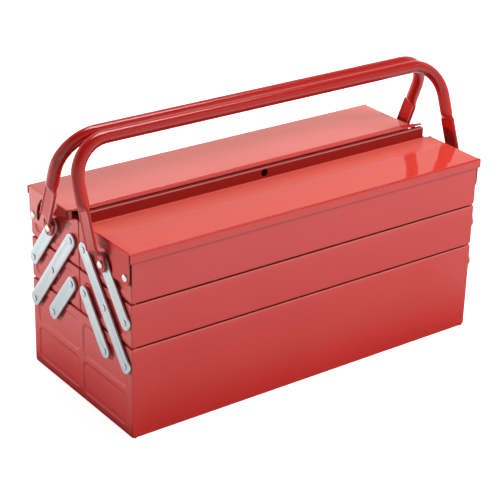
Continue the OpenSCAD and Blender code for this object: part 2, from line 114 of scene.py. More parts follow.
def make_enamel_coat():
    """Stoved enamel: slow drifts of colour, smears of handling, specks of dust and orange peel."""
    tree, given, result = new_group(
        "enamel_coat",
        [
            ("Vector", "NodeSocketVector", None),
            ("Enamel", "NodeSocketColor", (0.5, 0.02, 0.02, 1)),
            ("Thin enamel", "NodeSocketColor", (0.6, 0.05, 0.04, 1)),
            ("Gloss", "NodeSocketFloat", 0.12),
            ("Peel size", "NodeSocketFloat", 420.0),
            ("Dust", "NodeSocketFloat", 0.5),
        ],
        [("Colour", "NodeSocketColor"), ("Roughness", "NodeSocketFloat"), ("Height", "NodeSocketFloat")],
    )
    at = given.outputs["Vector"]
    drift = spread(tree, noise(tree, at, 7.0, 3.0), 0.35, 0.65)
    smear = spread(tree, noise(tree, at, 38.0, 6.0, 0.62), 0.5, 0.78)
    specks = add_node(tree, "ShaderNodeTexVoronoi", Vector=at, Scale=260.0).outputs["Distance"]
    speck = calc(tree, "MULTIPLY", spread(tree, specks, 0.1, 0.04), given.outputs["Dust"])
    speck = calc(tree, "MULTIPLY", speck, spread(tree, noise(tree, at, 90.0), 0.56, 0.6))
    colour = blend_colours(
        tree, calc(tree, "MULTIPLY", drift, 0.45), given.outputs["Enamel"], given.outputs["Thin enamel"]
    )
    colour = blend_colours(tree, calc(tree, "MULTIPLY", speck, 0.35), colour, (0.75, 0.45, 0.4, 1))
    rough = calc(tree, "MULTIPLY_ADD", smear, 0.07, given.outputs["Gloss"])
    rough = calc(tree, "MULTIPLY_ADD", speck, 0.25, rough)
    peel = noise(tree, at, given.outputs["Peel size"], 1.0, 0.4)
    wave = noise(tree, at, 34.0, 1.0, 0.4)
    height = calc(tree, "MULTIPLY_ADD", wave, 2.4, calc(tree, "MULTIPLY", peel, 0.22))
    height = calc(tree, "ADD", height, calc(tree, "MULTIPLY", speck, 0.1))
    for socket, label in ((colour, "Colour"), (rough, "Roughness"), (height, "Height")):
        tree.links.new(socket, result.inputs[label])
    return tree


def new_material(name, **shader):
    """A material with its shader's plain values set on the shader's own sockets."""
    material = bpy.data.materials.new(name)
    material.use_nodes = True
    tree = material.node_tree
    surface = tree.nodes["Principled BSDF"]
    for label, value in shader.items():
        surface.inputs[label.replace("_", " ")].default_value = value
    return material, tree, surface


def finish_with(tree, surface, coat, strength, depth):
    """Feeds a shader from an effect's colour, roughness and height."""
    tree.links.new(coat.outputs["Colour"], surface.inputs["Base Color"])
    tree.links.new(coat.outputs["Roughness"], surface.inputs["Roughness"])
    bump = add_node(
        tree, "ShaderNodeBump", Strength=strength, Distance=depth, Height=coat.outputs["Height"]
    )
    tree.links.new(bump.outputs["Normal"], surface.inputs["Normal"])


ENAMEL_COAT = make_enamel_coat()


def red_enamel(name, enamel, thin, gloss, peel=420.0, dust=0.5):
    """The box's enamel, in its full colour and the one that it has where it lies thin."""
    material, tree, surface = new_material(name, IOR=1.52)
    at = add_node(tree, "ShaderNodeTexCoord").outputs["Object"]
    coat = add_node(
        tree,
        "ShaderNodeGroup",
        {"node_tree": ENAMEL_COAT},
        Vector=at,
        Enamel=enamel,
        Thin_enamel=thin,
        Gloss=gloss,
        Peel_size=peel,
        Dust=dust,
    )
    finish_with(tree, surface, coat, 0.12, 0.001)
    return material


def rounded(points, radii, steps=6):
    """A line of points with its inner corners rounded, each by its own radius."""
    points = [Vector(p) for p in points]
    line = [points[0]]
    for before, corner, after, r in zip(points, points[1:], points[2:], radii):
        u, v = (before - corner).normalized(), (after - corner).normalized()
        half = u.angle(v) / 2
        centre = corner + (u + v).normalized() * r / math.sin(half)
        a, b = corner + u * r / math.tan(half) - centre, corner + v * r / math.tan(half) - centre
        sweep = a.angle(b)
        line += [
            centre + (a * math.sin((1 - t) * sweep) + b * math.sin(t * sweep)) / math.sin(sweep)
            for t in (i / steps for i in range(steps + 1))
        ]
    return line + [points[-1]]


def spaced(low, high, step):
    """Even places from one end to the other, about a step apart."""
    count = max(1, round((high - low) / step))
    return [low + (high - low) * i / count for i in range(count + 1)]


def new_object(name, data):
    """An object at the origin of the scene."""
    made = bpy.data.objects.new(name, data)
    bpy.context.scene.collection.objects.link(made)
    return made


class SheetWork:
    """Patches of one sheet of steel.

    A point is its place along the box, its distance from the outer face and its height, in mm.
    Sheets are drawn as they lie at the front and the left, and mirrored to the other sides.
    """

    def __init__(self, side="front", end="left"):
        self.mesh = bmesh.new()
        self.hand = 1 if side == "front" else -1
        self.way = 1 if end == "left" else -1

    def point(self, x, y, z):
        return self.mesh.verts.new(Vector((self.way * x, self.hand * (y - BOX_W / 2), z)) * MM)

    def patch(self, us, vs, place):
        """A grid of faces over two lists of steps, with place giving each point."""
        rows = [[self.point(*place(u, v)) for v in vs] for u in us]
        for a, b in zip(rows, rows[1:]):
            for i in range(len(vs) - 1):
                self.mesh.faces.new((a[i], a[i + 1], b[i + 1], b[i]))

    def cut_plate(self, outline, holes, place):
        """Fills a flat outline, less its holes, with place giving each point."""
        loops = [outline, *holes]
        flat = [Vector(p) for loop in loops for p in loop]
        edges, start = [], 0
        for loop in loops:
            edges += [(start + i, start + (i + 1) % len(loop)) for i in range(len(loop))]
            start += len(loop)
        points, _, faces, *_ = delaunay_2d_cdt(flat, edges, [], 1, 1e-7)
        corners = [self.point(*place(p.x, p.y)) for p in points]
        for face in faces:
            middle = sum((points[i] for i in face), Vector((0, 0))) / len(face)
            if within(middle, outline) and not any(within(middle, hole) for hole in holes):
                self.mesh.faces.new([corners[i] for i in face])

    def finish(self, name, body, node, material, drawn_from=1, sharp=38.0):
        """Joins the patches, gives them the sheet's thickness and makes the piece.

        drawn_from is -1 for a sheet whose patches were drawn from its inner side.
        """
        bmesh.ops.remove_doubles(self.mesh, verts=self.mesh.verts, dist=4e-6)
        if self.hand * self.way * drawn_from < 0:
            bmesh.ops.reverse_faces(self.mesh, faces=self.mesh.faces)
        mesh = bpy.data.meshes.new(name)
        self.mesh.to_mesh(mesh)
        self.mesh.free()
        mesh.materials.append(material)
        piece = new_object(name, mesh)
        thick = piece.modifiers.new("wall", "SOLIDIFY")
        thick.thickness, thick.offset, thick.use_even_offset = SHEET * MM, -1, True
        set_down(piece, body, node, sharp)


def within(p, loop):
    """True where a flat point lies inside a closed loop of points."""
    inside = False
    for a, b in zip(loop, [*loop[1:], loop[0]]):
        if (a[1] > p[1]) != (b[1] > p[1]):
            crossing = (b[0] - a[0]) * (p[1] - a[1]) / (b[1] - a[1]) + a[0]
            inside ^= p[0] < crossing
    return inside


def set_down(piece, body, node, sharp):
    """Applies a piece's modifiers, smooths it between its sharp edges and puts it on its CAD body."""
    bpy.context.view_layer.update()
    finished = piece.evaluated_get(bpy.context.evaluated_depsgraph_get())
    made = bpy.data.meshes.new_from_object(finished)
    piece.modifiers.clear()
    piece.data = made
    for polygon in made.polygons:
        polygon.use_smooth = True
    made.set_sharp_from_angle(angle=math.radians(sharp))
    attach(piece, body)
    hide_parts(node)


def skirt_inset(z, bottom):
    """How far the bent lower edge of an end panel lies inside its face."""
    below = min(SKIRT_R, max(0.0, SKIRT_R - (z - bottom)))
    return SKIRT_R - math.sqrt(SKIRT_R**2 - below**2)


def channel_line(width, bottom, height):
    """The outer line of a tray's section: hem, front wall, floor, back wall and hem again."""
    top = bottom + height
    curl = HEM_T / 2
    turn = [math.pi * i / 8 for i in range(9)]
    front = [Vector((HEM_T, top - HEM_H))] + [
        Vector((curl + curl * math.cos(a), top - curl + curl * math.sin(a))) for a in turn
    ]
    corners = [(0, top - HEM_H), (0, bottom), (width, bottom), (width, top - HEM_H)]
    folds = rounded(corners, [FOLD_R, FOLD_R])
    levels = [folds[0]]
    for a, b in zip(folds, folds[1:]):
        parts = max(1, round((b - a).length / WALL_STRIP)) if abs(b.y - a.y) > 1 else 1
        levels += [a + (b - a) * i / parts for i in range(1, parts + 1)]
    near_floor = [Vector((0, bottom + SKIRT_R * k)) for k in (1.0, 0.8, 0.62)]
    above_skirt = bottom + SKIRT_R + 0.1
    levels = [p for p in levels if not (p.x in (0, width) and FOLD_R + bottom < p.y < above_skirt)]
    first = next(i for i, p in enumerate(levels) if p.y < bottom + SKIRT_R)
    last = len(levels) - next(i for i, p in enumerate(reversed(levels)) if p.y < bottom + SKIRT_R)
    levels = (
        levels[:first]
        + near_floor
        + levels[first:last]
        + [Vector((width, p.y)) for p in reversed(near_floor)]
        + levels[last:]
    )
    back = [Vector((width - p.x, p.y)) for p in reversed(front)]
    return front + levels + back


def tray_shell(name, body, side, width, bottom, height, material):
    """One folded channel, as long as the box less its end panels, and shorter along their bent edges."""
    work = SheetWork(side)
    line = channel_line(width, bottom, height)
    half = BOX_L / 2 - SHEET

    def place(u, i):
        return u * (half - skirt_inset(line[i].y, bottom)), line[i].x, line[i].y

    work.patch(spaced(-1, 1, 0.1), range(len(line)), place)
    work.finish(name, body, name.replace("_steel", ""), material)


def own_axes(tree):
    """How far a point lies along each axis of its own piece."""
    at = add_node(tree, "ShaderNodeTexCoord").outputs["Object"]
    return add_node(tree, "ShaderNodeSeparateXYZ", i0=at).outputs


def zone(tree, value, low, high, soft=0.4):
    """One between two places in mm, and none outside them."""
    rise = spread(tree, value, (low - soft) * MM, (low + soft) * MM)
    fall = spread(tree, value, (high - soft) * MM, (high + soft) * MM, 1.0, 0.0)
    return calc(tree, "MULTIPLY", rise, fall)


def touch_up(material, marks):
    """Gives an enamel another colour or roughness in places.

    A mark is its zones, each an axis and two places in mm, then its colour, how strongly that
    covers, and the roughness that it adds.
    """
    tree = material.node_tree
    surface = tree.nodes["Principled BSDF"]
    axes = own_axes(tree)
    colour = surface.inputs["Base Color"].links[0].from_socket
    rough = surface.inputs["Roughness"].links[0].from_socket
    for zones, shade, amount, rougher in marks:
        mask = amount
        for axis, *span in zones:
            mask = calc(tree, "MULTIPLY", zone(tree, axes[axis], *span), mask)
        colour = blend_colours(tree, mask, colour, shade)
        rough = calc(tree, "MULTIPLY_ADD", mask, rougher, rough)
    tree.links.new(colour, surface.inputs["Base Color"])
    tree.links.new(rough, surface.inputs["Roughness"])


# A deep red for painted shade in the gaps and under edges.
DEEP_RED = (0.16, 0.006, 0.004, 1)
BODY_ENAMEL = red_enamel("body_enamel", (0.62, 0.03, 0.025, 1), (0.67, 0.042, 0.034, 1), 0.13)
# Painted glint and shade: a thin pale line on every rolled rim, and a dark one over the gap.
seam_marks = []
for rim in (BASE_H, BASE_H + TRAY_PITCH):
    seam_marks += [
        ([("Z", rim - 0.9, rim + 0.3)], (0.8, 0.42, 0.34, 1), 0.3, 0.1),
        ([("Z", rim + TRAY_GAP - 0.3, rim + TRAY_GAP + 1.1)], DEEP_RED, 0.85, 0.3),
    ]
touch_up(BODY_ENAMEL, seam_marks)
tray_shell("base_shell_steel", "base", "front", BOX_W, 0.0, BASE_H, BODY_ENAMEL)

# ---------------------------------------------------------------------------------------------
# Base tray end panels
# Pressed panels of the same sheet, each with four shallow panes between raised ribs, and a flat
# seat round every pivot. Their edges are bent inwards and spot welded inside the folded shell.

PIVOT_EDGE, PIVOT_INNER, PIVOT_DROP = 8.7, 12.3, 21.0
CENTRE_GAP = 1.2
TRAY_W = (BOX_W - CENTRE_GAP) / 2
STAGE_IN = (TRAY_W - PIVOT_EDGE - PIVOT_INNER) / 2
RIM_Z = [BASE_H + level * TRAY_PITCH for level in range(3)]
PANE_DEPTH, PANE_SLOPE, PANE_LEAD, PANE_R = 1.2, 2.6, 0.9, 7.0
SEAT_R, SEAT_SLOPE, SEAT_LEAD = 7.5, 2.2, 0.8
RIM_R, RIM_FLANGE, RIM_CLEAR = 1.0, 6.0, 0.2
WELD_FLANGE, WELD_CLEAR = 10.0, 1.0
BASE_BORDER, RIB_UPRIGHT, RIB_LEVEL = 10.5, 8.0, 7.0


def pivot(place, level):
    """A rivet's middle, counted inwards from the outer face and upwards from the base."""
    return Vector((PIVOT_EDGE + place * STAGE_IN, RIM_Z[level] - PIVOT_DROP))


def ease(t):
    """A smooth rise from none to one."""
    t = min(1.0, max(0.0, t))
    return t * t * (3 - 2 * t)


def pressed_depth(p, pane_list, seats):
    """How deep the press has pushed the panel in at a point."""
    depth = 0.0
    for low, size in pane_list:
        half = Vector(size) / 2
        q = p - Vector(low) - half
        q = Vector((abs(q.x), abs(q.y))) - half + Vector((PANE_R, PANE_R))
        inside = PANE_R - Vector((max(q.x, 0), max(q.y, 0))).length - min(max(q.x, q.y), 0)
        depth = max(depth, ease((inside + PANE_LEAD) / PANE_SLOPE))
    for seat in seats:
        depth *= ease(((p - seat).length - SEAT_R + SEAT_LEAD) / SEAT_SLOPE)
    return PANE_DEPTH * depth


def tray_end(name, body, side, end, width, bottom, height, pane_list, seats, material):
    """One pressed panel: its face and bent edges, the level flange on top and the welded one inside."""
    work = SheetWork(side, end)
    top = bottom + height
    quarter = [math.pi / 12 * i for i in range(7)]
    across = (
        [(RIM_R * (1 - math.cos(a)), RIM_R * (1 - math.sin(a))) for a in quarter]
        + [(y, 0.0) for y in spaced(RIM_R, width - RIM_R, 1.0)[1:-1]]
        + [(width - RIM_R * (1 - math.cos(a)), RIM_R * (1 - math.sin(a))) for a in reversed(quarter)]
    )
    upwards = (
        [(bottom + SKIRT_R * (1 - math.cos(a)), SKIRT_R * (1 - math.sin(a))) for a in quarter]
        + [(z, 0.0) for z in spaced(bottom + SKIRT_R, top - RIM_R, 1.0)[1:-1]]
        + [(top - RIM_R * (1 - math.cos(a)), RIM_R * (1 - math.sin(a))) for a in reversed(quarter)]
    )
    face = -BOX_L / 2

    def place(u, v):
        (y, side_in), (z, edge_in) = u, v
        return face + side_in + edge_in + pressed_depth(Vector((y, z)), pane_list, seats), y, z

    work.patch(across, upwards, place)
    hem = HEM_T + RIM_CLEAR
    level = [p for p in across if hem < p[0] < width - hem]
    work.patch(level, [RIM_R, RIM_FLANGE + RIM_R], lambda u, v: (face + v, u[0], top))
    low, high, far = bottom + SHEET, top - HEM_H - WELD_CLEAR, width - SHEET
    inner = rounded([(SHEET, high), (SHEET, low), (far, low), (far, high)], [SHEET, SHEET])
    work.patch([face + SHEET, face + SHEET + WELD_FLANGE], inner, lambda u, v: (u, v.x, v.y))
    work.finish(name, body, name.replace("_steel", ""), material)


# The ends' enamel is painted pinker than the body's, as a painted reflection on the same enamel.
END_ENAMEL = red_enamel("end_enamel", (0.56, 0.055, 0.05, 1), (0.61, 0.07, 0.063, 1), 0.2, 520.0)
# Painted shade: the ends darken towards the floor, and behind the edge of the front lid's flap.
corner_y, hub_z = -BOX_W / 2, RIM_Z[2] - PIVOT_DROP
behind_flap = [("Y", corner_y - 1, corner_y + 2.6), ("Z", hub_z - 7, hub_z + 40)]
touch_up(
    END_ENAMEL,
    [
        ([("Z", -20, 10, 9)], (0.24, 0.006, 0.007, 1), 0.9, 0.3),
        (behind_flap, (0.03, 0.002, 0.002, 1), 0.95, 0.4),
    ],
)
pane = Vector((BOX_W - 2 * BASE_BORDER - RIB_UPRIGHT, BASE_H - 2 * BASE_BORDER - RIB_LEVEL)) / 2
base_panes = [
    ((BASE_BORDER + column * (pane.x + RIB_UPRIGHT), BASE_BORDER + row * (pane.y + RIB_LEVEL)), pane)
    for column in (0, 1)
    for row in (0, 1)
]
near_seats = [pivot(0, 0), pivot(1, 0)]
base_seats = near_seats + [Vector((BOX_W - p.x, p.y)) for p in near_seats]
for end in ("left", "right"):
    name = f"base_end_{end}_steel"
    tray_end(name, "base", "front", end, BOX_W, 0.0, BASE_H, base_panes, base_seats, END_ENAMEL)

# ---------------------------------------------------------------------------------------------
# Middle and top trays
# Four narrower trays of the same folded sheet, each hemmed at its rims and closed at both ends by
# a pressed panel with one pane. The top trays are taller, up to the underside of their lids.

TRAY_H = TRAY_PITCH - TRAY_GAP
LID_SIT, LID_GAP = 7.9, 0.3
LID_EDGE_Z = RIM_Z[2] + LID_SIT
LID_CLEAR_R = LID_EDGE_Z - SHEET - LID_GAP - pivot(0, 2).y
TOP_TRAY_H = pivot(0, 2).y + math.sqrt(LID_CLEAR_R**2 - PIVOT_EDGE**2) - RIM_Z[1] - TRAY_GAP
TRAY_BORDER = 9.0

for side in ("front", "rear"):
    for row, level, height in (("mid", 1, TRAY_H), ("top", 2, TOP_TRAY_H)):
        tray = f"{row}_tray_{side}"
        bottom = RIM_Z[level - 1] + TRAY_GAP
        tray_shell(f"{tray}_shell_steel", tray, side, TRAY_W, bottom, height, BODY_ENAMEL)
        size = (TRAY_W - 2 * TRAY_BORDER, height - 2 * TRAY_BORDER)
        panes = [((TRAY_BORDER, bottom + TRAY_BORDER), size)]
        seats = [pivot(place, level) for place in range(3)]
        for end in ("left", "right"):
            name = f"{tray}_end_{end}_steel"
            tray_end(name, tray, side, end, TRAY_W, bottom, height, panes, seats, END_ENAMEL)

# ---------------------------------------------------------------------------------------------
# Spacing washers
# Plain zinc-plated steel washers that hold every link just off the pressed panels. Each sits on
# its rivet, between the flat seat and the back of the link.

WASHER_D, WASHER_T = 12.0, 1.0
SHANK_D, HINGE_PLAY, SIDE_PLAY = 5.0, 0.1, 0.2
HOLE_R = SHANK_D / 2 + HINGE_PLAY
LINK_OUT, LINK_T = WASHER_T + SIDE_PLAY, 2.0
TAB_OUT, CRUSH_T = LINK_OUT + LINK_T, 3.4
LID_OUT = LINK_OUT + SHEET


def new_modifier_tree(name, inputs):
    """A geometry tree with its own named sizes, and its first and last sockets."""
    tree = bpy.data.node_groups.new(name, "GeometryNodeTree")
    tree.interface.new_socket(name="Geometry", in_out="INPUT", socket_type="NodeSocketGeometry")
    tree.interface.new_socket(name="Geometry", in_out="OUTPUT", socket_type="NodeSocketGeometry")
    for label, kind in inputs:
        tree.interface.new_socket(name=label, in_out="INPUT", socket_type=kind)
    return tree, tree.nodes.new("NodeGroupInput").outputs, tree.nodes.new("NodeGroupOutput").inputs


def turned_part(tree, line, facets):
    """Turns a line of (radius, height) pairs round the Z axis."""
    steps = len(line) - 1
    grid = add_node(tree, "GeometryNodeMeshGrid", i0=1.0, i1=1.0, i2=len(line), i3=facets)
    at = add_node(tree, "GeometryNodeInputPosition").outputs[0]
    axes = add_node(tree, "ShaderNodeSeparateXYZ", i0=at).outputs
    down = calc(tree, "ADD", axes["X"], 0.5)
    angle = calc(tree, "MULTIPLY", axes["Y"], 2 * math.pi)

    def read_off(values):
        """The line's value at each row of the grid."""
        total = values[0]
        for i, value in enumerate(values[1:]):
            share = spread(tree, down, (i + 0.01) / steps, (i + 0.99) / steps)
            total = add_node(tree, "ShaderNodeMix", i0=share, i2=total, i3=value).outputs[0]
        return total

    r, z = read_off([r for r, _ in line]), read_off([z for _, z in line])
    x = calc(tree, "MULTIPLY", r, calc(tree, "COSINE", angle))
    y = calc(tree, "MULTIPLY", r, calc(tree, "SINE", angle))
    spot = add_node(tree, "ShaderNodeCombineXYZ", i0=x, i1=y, i2=z).outputs[0]
    turned = add_node(tree, "GeometryNodeSetPosition", Geometry=grid.outputs["Mesh"], Position=spot)
    merged = add_node(tree, "GeometryNodeMergeByDistance", Geometry=turned.outputs[0], Distance=1e-6)
    return merged.outputs[0]


def stamp_at_points(tree, given, part, out):
    """Puts a copy of a part on every point, turned to the point's own axis."""
    axis = add_node(tree, "GeometryNodeInputNamedAttribute", {"data_type": "FLOAT_VECTOR"}, Name="axis")
    outward = axis.outputs["Attribute"]
    turn = add_node(tree, "FunctionNodeAlignRotationToVector", {"axis": "Z"}, Vector=outward).outputs[0]
    points = given["Geometry"]
    stamped = add_node(tree, "GeometryNodeInstanceOnPoints", Points=points, Instance=part, Rotation=turn)
    real = add_node(tree, "GeometryNodeRealizeInstances", Geometry=stamped.outputs[0]).outputs[0]
    dressed = add_node(tree, "GeometryNodeSetMaterial", Geometry=real, Material=given["Material"])
    tree.links.new(dressed.outputs[0], out["Geometry"])


def make_washer_tree():
    """Flat washers whose outer edge is taken off a little."""
    tree, given, out = new_modifier_tree(
        "washer_rows",
        [
            ("Outer radius", "NodeSocketFloat"),
            ("Hole radius", "NodeSocketFloat"),
            ("Thickness", "NodeSocketFloat"),
            ("Material", "NodeSocketMaterial"),
        ],
    )
    outer, hole, top = given["Outer radius"], given["Hole radius"], given["Thickness"]
    shy = calc(tree, "SUBTRACT", outer, 0.0002)
    below = calc(tree, "SUBTRACT", top, 0.0002)
    line = [(hole, 0.0), (hole, top), (shy, top), (outer, below), (outer, 0.0), (hole, 0.0)]
    stamp_at_points(tree, given, turned_part(tree, line, 41), out)
    return tree


def stamp(name, tree, values, places, body, node, sharp):
    """Runs a geometry tree on a row of points, each with its own outward axis, and keeps the mesh."""
    mesh = bpy.data.meshes.new(name)
    mesh.from_pydata([p * MM for p, _ in places], [], [])
    mesh.attributes.new("axis", "FLOAT_VECTOR", "POINT").data.foreach_set(
        "vector", [c for _, axis in places for c in axis]
    )
    piece = new_object(name, mesh)
    modifier = piece.modifiers.new("stamp", "NODES")
    modifier.node_group = tree
    for item in tree.interface.items_tree:
        if item.in_out == "INPUT" and item.name in values:
            modifier[item.identifier] = values[item.name]
    set_down(piece, body, node, sharp)


def places_on_ends(side, pivots, out):
    """Where a row of pivots meets both ends, and the way out of each end."""
    hand = 1 if side == "front" else -1
    return [
        (Vector((way * (BOX_L / 2 + out), hand * (p.x - BOX_W / 2), p.y)), Vector((way, 0, 0)))
        for way in (-1, 1)
        for p in pivots
    ]


def make_zinc_skin():
    """Bright zinc: faint straw and blue tints, fine lengthwise scratches and dull finger marks."""
    tree, given, result = new_group(
        "zinc_skin",
        [
            ("Vector", "NodeSocketVector", None),
            ("Zinc", "NodeSocketColor", (0.6, 0.65, 0.7, 1)),
            ("Tint", "NodeSocketColor", (0.7, 0.66, 0.6, 1)),
            ("Polish", "NodeSocketFloat", 0.3),
        ],
        [("Colour", "NodeSocketColor"), ("Roughness", "NodeSocketFloat"), ("Height", "NodeSocketFloat")],
    )
    at = given.outputs["Vector"]
    drift = spread(tree, noise(tree, at, 30.0, 2.0), 0.4, 0.62)
    stretched = add_node(tree, "ShaderNodeMapping", Vector=at)
    stretched.inputs["Scale"].default_value = (60, 900, 160)
    scratch = noise(tree, stretched.outputs[0], 1.0, 2.0)
    dull = spread(tree, noise(tree, at, 120.0, 4.0, 0.6), 0.48, 0.72)
    colour = blend_colours(tree, drift, given.outputs["Zinc"], given.outputs["Tint"])
    colour = blend_colours(tree, calc(tree, "MULTIPLY", dull, 0.2), colour, (0.5, 0.54, 0.58, 1))
    rough = calc(tree, "MULTIPLY_ADD", dull, 0.14, given.outputs["Polish"])
    height = calc(tree, "MULTIPLY_ADD", scratch, 0.3, calc(tree, "MULTIPLY", dull, 0.2))
    for socket, label in ((colour, "Colour"), (rough, "Roughness"), (height, "Height")):
        tree.links.new(socket, result.inputs[label])
    return tree


ZINC_SKIN = make_zinc_skin()


def zinc_plate(name, zinc, tint, polish, metal=0.85):
    """Plated steel, from bright to dull."""
    material, tree, surface = new_material(name, Metallic=metal)
    at = add_node(tree, "ShaderNodeTexCoord").outputs["Object"]
    skin = add_node(
        tree, "ShaderNodeGroup", {"node_tree": ZINC_SKIN}, Vector=at, Zinc=zinc, Tint=tint, Polish=polish
    )
    finish_with(tree, surface, skin, 0.25, 0.0003)
    return material


WASHER_TREE = make_washer_tree()
WASHER_ZINC = zinc_plate("washer_zinc", (0.5, 0.53, 0.56, 1), (0.55, 0.54, 0.5, 1), 0.34)
washer_sizes = {
    "Outer radius": WASHER_D / 2 * MM,
    "Hole radius": HOLE_R * MM,
    "Thickness": WASHER_T * MM,
    "Material": WASHER_ZINC,
}


def washer_row(body, places):
    """All the washers of one tray."""
    node = f"{body}_washers"
    stamp(f"{node}_zinc", WASHER_TREE, washer_sizes, places, body, node, 40)


washer_row("base", [p for side in ("front", "rear") for p in places_on_ends(side, near_seats, 0)])
for side in ("front", "rear"):
    for row, level in (("mid", 1), ("top", 2)):
        pivots = [pivot(place, level) for place in range(3)]
        washer_row(f"{row}_tray_{side}", places_on_ends(side, pivots, 0))

# ---------------------------------------------------------------------------------------------
# Rivets
# Solid steel rivets, bright plated. The ones in the links are pressed almost flush, and those of
# the lids and the handles keep a low domed head. Their tails are clenched inside the trays.

LINK_HEAD_OUT = LINK_OUT + LINK_T + SIDE_PLAY
LID_HEAD_OUT = LID_OUT + SIDE_PLAY
TAB_HEAD_OUT = TAB_OUT + CRUSH_T + SIDE_PLAY
HEAD_R, HEAD_H = 4.3, 1.6
FLUSH_HEAD_R, FLUSH_HEAD_H = 3.4, 0.9
TAIL_R, TAIL_H = 4.0, 1.4


def make_rivet_tree(name, crown):
    """Rivets whose heads have the outline of crown, in parts of the head's radius and height."""
    tree, given, out = new_modifier_tree(
        name,
        [
            ("Head radius", "NodeSocketFloat"),
            ("Head height", "NodeSocketFloat"),
            ("Shank radius", "NodeSocketFloat"),
            ("Grip", "NodeSocketFloat"),
            ("Tail radius", "NodeSocketFloat"),
            ("Tail height", "NodeSocketFloat"),
            ("Material", "NodeSocketMaterial"),
        ],
    )
    head_r, head_h = given["Head radius"], given["Head height"]
    tail_r, tail_h = given["Tail radius"], given["Tail height"]
    grip = calc(tree, "MULTIPLY", given["Grip"], -1.0)

    def head(r, h):
        return calc(tree, "MULTIPLY", head_r, r), calc(tree, "MULTIPLY", head_h, h)

    def tail(r, h):
        return calc(tree, "MULTIPLY", tail_r, r), calc(tree, "MULTIPLY_ADD", tail_h, -h, grip)

    line = (
        [(0.0, head_h)]
        + [head(*p) for p in crown]
        + [(given["Shank radius"], 0.0), (given["Shank radius"], grip)]
        + [tail(1.0, 0.0), tail(1.0, 0.3), tail(0.9, 0.85), tail(0.55, 1.0), tail(0.0, 1.0)]
    )
    stamp_at_points(tree, given, turned_part(tree, line, 41), out)
    return tree


quarter = [math.pi / 12 * i for i in range(1, 7)]
DOMED_RIVET = make_rivet_tree(
    "domed_rivets", [(math.sin(a), 0.12 + 0.88 * math.cos(a)) for a in quarter] + [(0.97, 0.0)]
)
FLUSH_RIVET = make_rivet_tree(
    "flush_rivets",
    [(0.5, 0.97), (0.78, 0.9), (0.92, 0.76), (1.0, 0.5), (1.0, 0.3), (0.84, 0.12), (0.8, 0.0)],
)
RIVET_STEEL = zinc_plate("rivet_steel", (0.74, 0.75, 0.72, 1), (0.8, 0.78, 0.7, 1), 0.22)
LINK_RIVET_STEEL = zinc_plate(
    "link_rivet_steel", (0.62, 0.67, 0.69, 1), (0.66, 0.68, 0.67, 1), 0.32, 0.6
)


def rivet_row(name, body, places, head_out, head_r, head_h, tree, material):
    """Like rivets of one body, with their heads that far outside the end panels."""
    sizes = {
        "Head radius": head_r * MM,
        "Head height": head_h * MM,
        "Shank radius": SHANK_D / 2 * MM,
        "Grip": (head_out + SHEET) * MM,
        "Tail radius": TAIL_R * MM,
        "Tail height": TAIL_H * MM,
        "Material": material,
    }
    stamp(f"{name}_steel", tree, sizes, places, body, name, 50)


link_kind = (LINK_HEAD_OUT, FLUSH_HEAD_R, FLUSH_HEAD_H, FLUSH_RIVET, LINK_RIVET_STEEL)
base_places = [p for side in ("front", "rear") for p in places_on_ends(side, near_seats, LINK_HEAD_OUT)]
rivet_row("base_rivets", "base", base_places, *link_kind)
for side in ("front", "rear"):
    mid, top = f"mid_tray_{side}", f"top_tray_{side}"
    mid_places = places_on_ends(side, [pivot(place, 1) for place in range(3)], LINK_HEAD_OUT)
    rivet_row(f"{mid}_rivets", mid, mid_places, *link_kind)
    for name, place, kind in (
        (f"{top}_rivets", 2, link_kind),
        (f"handle_rivets_{side}", 1, (TAB_HEAD_OUT, HEAD_R, HEAD_H, DOMED_RIVET, RIVET_STEEL)),
        (f"lid_rivets_{side}", 0, (LID_HEAD_OUT, HEAD_R, HEAD_H, DOMED_RIVET, RIVET_STEEL)),
    ):
        rivet_row(name, top, places_on_ends(side, [pivot(place, 2)], kind[0]), *kind)

# ---------------------------------------------------------------------------------------------
# Links
# Flat bars with round ends, punched from 2 mm strip, drilled at their pivots, tumbled and zinc
# plated. Six at each end of the box carry the trays apart like a lazy tongs.

LINK_ZINC = zinc_plate("link_zinc", (0.58, 0.66, 0.7, 1), (0.64, 0.68, 0.69, 1), 0.36, 0.5)

for side in ("front", "rear"):
    for end in ("left", "right"):
        for kind, body in (
            ("long_link", f"long_link_{side}_{end}"),
            ("lower_link", f"lower_link_{side}_{end}"),
            ("upper_link", f"handle_{side}"),
        ):
            node = f"{kind}_{side}_{end}"
            bar = new_object(f"{node}_bar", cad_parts[node].data.copy())
            loose = bmesh.new()
            loose.from_mesh(bar.data)
            bmesh.ops.remove_doubles(loose, verts=loose.verts, dist=1e-6)
            bmesh.ops.dissolve_limit(
                loose, angle_limit=math.radians(1), verts=loose.verts, edges=loose.edges
            )
            loose.to_mesh(bar.data)
            loose.free()
            bar.data.materials.clear()
            bar.data.materials.append(LINK_ZINC)
            soften = bar.modifiers.new("tumbled_edges", "BEVEL")
            soften.width, soften.segments, soften.limit_method = 0.0004, 3, "ANGLE"
            soften.angle_limit = math.radians(50)
            set_down(bar, body, node, 40)

# ---------------------------------------------------------------------------------------------
# Lids
# Each lid is one sheet with a front flange and an end flap bent down at both ends, which turns on
# a rivet. The front lid ends in an upright with a padlock hole, and the rear lid laps over it.

